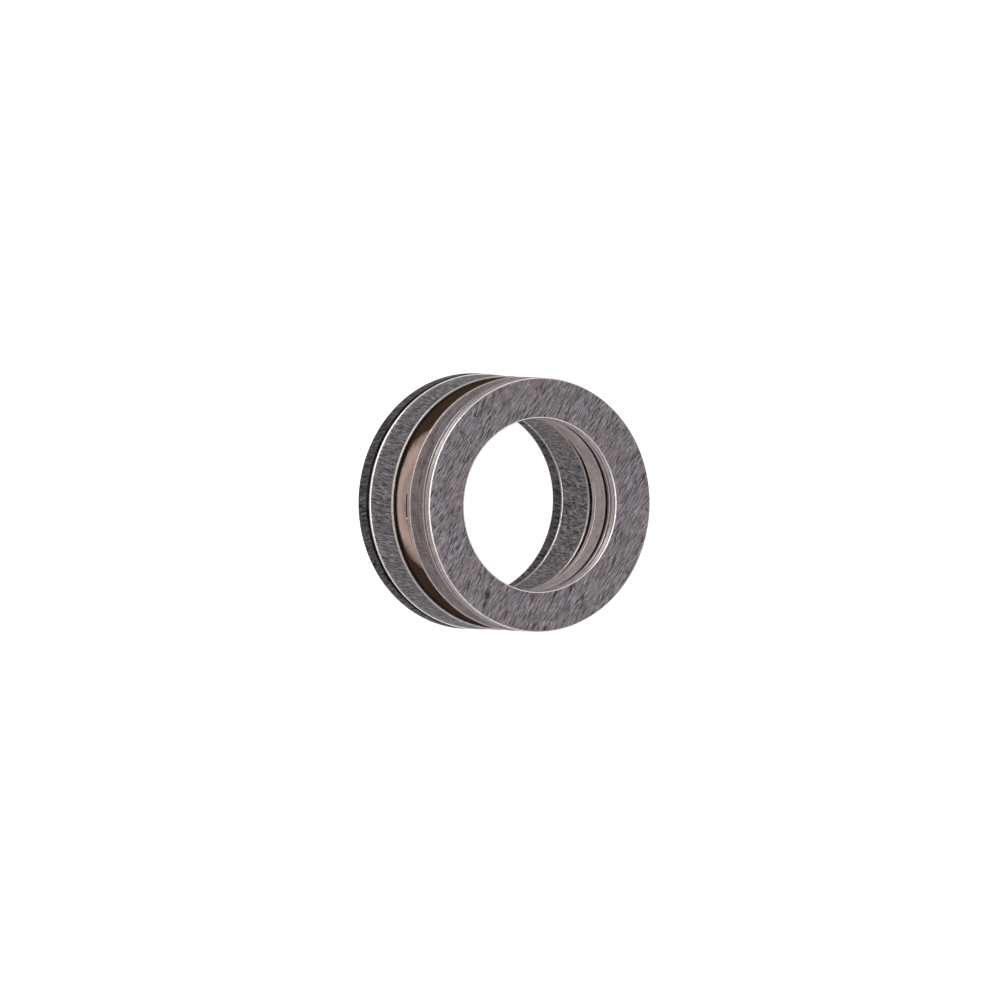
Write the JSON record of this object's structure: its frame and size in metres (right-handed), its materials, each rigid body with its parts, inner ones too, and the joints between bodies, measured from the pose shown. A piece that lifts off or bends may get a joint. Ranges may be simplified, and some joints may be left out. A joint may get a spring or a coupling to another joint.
{
  "type": "thrust ball bearing",
  "caption": "Single-direction thrust ball bearing: flat ground washers and grooved races either side of a bronze cage of steel balls, with a straight through bore.",
  "frame": {"origin": "centre of the lower face of the back washer, on the bearing's axis, in the plane it rests on", "axes": "+Z is the bearing's axis, from the housing side up to the shaft side; +X points at ball 1, radially outwards"},
  "size_m": [0.052, 0.052, 0.0288],
  "materials": {
    "ground_steel": "surface-ground bearing steel with fine straight grinding scratches",
    "turned_steel": "fine-turned bearing steel, satin, with bright rounded edges",
    "scratched_steel": "darker ground steel with dense fine scratches and bright chamfers",
    "dark_steel": "dark oiled steel, lightly scratched",
    "ball_steel": "polished hardened steel",
    "cage_bronze": "machined bronze, brown, with turned lines and a dull oil film"
  },
  "bodies": {
    "housing": {"back_washer": "dark_steel", "housing_race": "scratched_steel"},
    "cage": {"ball_cage": "cage_bronze"},
    "shaft": {"shaft_race": "turned_steel", "front_washer": "ground_steel"},
    "ball_01": {"ball_01": "ball_steel"},
    "ball_02": {"ball_02": "ball_steel"},
    "ball_03": {"ball_03": "ball_steel"},
    "ball_04": {"ball_04": "ball_steel"},
    "ball_05": {"ball_05": "ball_steel"},
    "ball_06": {"ball_06": "ball_steel"},
    "ball_07": {"ball_07": "ball_steel"},
    "ball_08": {"ball_08": "ball_steel"},
    "ball_09": {"ball_09": "ball_steel"},
    "ball_10": {"ball_10": "ball_steel"},
    "ball_11": {"ball_11": "ball_steel"},
    "ball_12": {"ball_12": "ball_steel"},
    "ball_13": {"ball_13": "ball_steel"},
    "ball_14": {"ball_14": "ball_steel"},
    "ball_15": {"ball_15": "ball_steel"},
    "ball_16": {"ball_16": "ball_steel"},
    "ball_17": {"ball_17": "ball_steel"},
    "ball_18": {"ball_18": "ball_steel"},
    "ball_19": {"ball_19": "ball_steel"},
    "ball_20": {"ball_20": "ball_steel"}
  },
  "joints": [
    {"name": "shaft_spin", "type": "hinge", "parent": "housing", "child": "shaft", "pos_m": [0, 0, 0.0228], "axis": [0, 0, 1], "continuous": true},
    {"name": "cage_spin", "type": "hinge", "parent": "housing", "child": "cage", "pos_m": [0, 0, 0.0184], "axis": [0, 0, 1], "continuous": true},
    {"name": "ball_01_roll", "type": "hinge", "parent": "cage", "child": "ball_01", "pos_m": [0.0219, 0, 0.0184], "axis": [1, 0, 0], "continuous": true},
    {"name": "ball_02_roll", "type": "hinge", "parent": "cage", "child": "ball_02", "pos_m": [0.02083, 0.00677, 0.0184], "axis": [0.9511, 0.309, 0], "continuous": true},
    {"name": "ball_03_roll", "type": "hinge", "parent": "cage", "child": "ball_03", "pos_m": [0.01772, 0.01287, 0.0184], "axis": [0.809, 0.5878, 0], "continuous": true},
    {"name": "ball_04_roll", "type": "hinge", "parent": "cage", "child": "ball_04", "pos_m": [0.01287, 0.01772, 0.0184], "axis": [0.5878, 0.809, 0], "continuous": true},
    {"name": "ball_05_roll", "type": "hinge", "parent": "cage", "child": "ball_05", "pos_m": [0.00677, 0.02083, 0.0184], "axis": [0.309, 0.9511, 0], "continuous": true},
    {"name": "ball_06_roll", "type": "hinge", "parent": "cage", "child": "ball_06", "pos_m": [0, 0.0219, 0.0184], "axis": [0, 1, 0], "continuous": true},
    {"name": "ball_07_roll", "type": "hinge", "parent": "cage", "child": "ball_07", "pos_m": [-0.00677, 0.02083, 0.0184], "axis": [-0.309, 0.9511, 0], "continuous": true},
    {"name": "ball_08_roll", "type": "hinge", "parent": "cage", "child": "ball_08", "pos_m": [-0.01287, 0.01772, 0.0184], "axis": [-0.5878, 0.809, 0], "continuous": true},
    {"name": "ball_09_roll", "type": "hinge", "parent": "cage", "child": "ball_09", "pos_m": [-0.01772, 0.01287, 0.0184], "axis": [-0.809, 0.5878, 0], "continuous": true},
    {"name": "ball_10_roll", "type": "hinge", "parent": "cage", "child": "ball_10", "pos_m": [-0.02083, 0.00677, 0.0184], "axis": [-0.9511, 0.309, 0], "continuous": true},
    {"name": "ball_11_roll", "type": "hinge", "parent": "cage", "child": "ball_11", "pos_m": [-0.0219, 0, 0.0184], "axis": [-1, 0, 0], "continuous": true},
    {"name": "ball_12_roll", "type": "hinge", "parent": "cage", "child": "ball_12", "pos_m": [-0.02083, -0.00677, 0.0184], "axis": [-0.9511, -0.309, 0], "continuous": true},
    {"name": "ball_13_roll", "type": "hinge", "parent": "cage", "child": "ball_13", "pos_m": [-0.01772, -0.01287, 0.0184], "axis": [-0.809, -0.5878, 0], "continuous": true},
    {"name": "ball_14_roll", "type": "hinge", "parent": "cage", "child": "ball_14", "pos_m": [-0.01287, -0.01772, 0.0184], "axis": [-0.5878, -0.809, 0], "continuous": true},
    {"name": "ball_15_roll", "type": "hinge", "parent": "cage", "child": "ball_15", "pos_m": [-0.00677, -0.02083, 0.0184], "axis": [-0.309, -0.9511, 0], "continuous": true},
    {"name": "ball_16_roll", "type": "hinge", "parent": "cage", "child": "ball_16", "pos_m": [0, -0.0219, 0.0184], "axis": [0, -1, 0], "continuous": true},
    {"name": "ball_17_roll", "type": "hinge", "parent": "cage", "child": "ball_17", "pos_m": [0.00677, -0.02083, 0.0184], "axis": [0.309, -0.9511, 0], "continuous": true},
    {"name": "ball_18_roll", "type": "hinge", "parent": "cage", "child": "ball_18", "pos_m": [0.01287, -0.01772, 0.0184], "axis": [0.5878, -0.809, 0], "continuous": true},
    {"name": "ball_19_roll", "type": "hinge", "parent": "cage", "child": "ball_19", "pos_m": [0.01772, -0.01287, 0.0184], "axis": [0.809, -0.5878, 0], "continuous": true},
    {"name": "ball_20_roll", "type": "hinge", "parent": "cage", "child": "ball_20", "pos_m": [0.02083, -0.00677, 0.0184], "axis": [0.9511, -0.309, 0], "continuous": true}
  ],
  "couplings": [
    {"joint": "cage_spin", "follows": "shaft_spin", "ratio": 0.5},
    {"joint": "ball_01_roll", "follows": "shaft_spin", "ratio": -4.38},
    {"joint": "ball_02_roll", "follows": "shaft_spin", "ratio": -4.38},
    {"joint": "ball_03_roll", "follows": "shaft_spin", "ratio": -4.38},
    {"joint": "ball_04_roll", "follows": "shaft_spin", "ratio": -4.38},
    {"joint": "ball_05_roll", "follows": "shaft_spin", "ratio": -4.38},
    {"joint": "ball_06_roll", "follows": "shaft_spin", "ratio": -4.38},
    {"joint": "ball_07_roll", "follows": "shaft_spin", "ratio": -4.38},
    {"joint": "ball_08_roll", "follows": "shaft_spin", "ratio": -4.38},
    {"joint": "ball_09_roll", "follows": "shaft_spin", "ratio": -4.38},
    {"joint": "ball_10_roll", "follows": "shaft_spin", "ratio": -4.38},
    {"joint": "ball_11_roll", "follows": "shaft_spin", "ratio": -4.38},
    {"joint": "ball_12_roll", "follows": "shaft_spin", "ratio": -4.38},
    {"joint": "ball_13_roll", "follows": "shaft_spin", "ratio": -4.38},
    {"joint": "ball_14_roll", "follows": "shaft_spin", "ratio": -4.38},
    {"joint": "ball_15_roll", "follows": "shaft_spin", "ratio": -4.38},
    {"joint": "ball_16_roll", "follows": "shaft_spin", "ratio": -4.38},
    {"joint": "ball_17_roll", "follows": "shaft_spin", "ratio": -4.38},
    {"joint": "ball_18_roll", "follows": "shaft_spin", "ratio": -4.38},
    {"joint": "ball_19_roll", "follows": "shaft_spin", "ratio": -4.38},
    {"joint": "ball_20_roll", "follows": "shaft_spin", "ratio": -4.38}
  ]
}
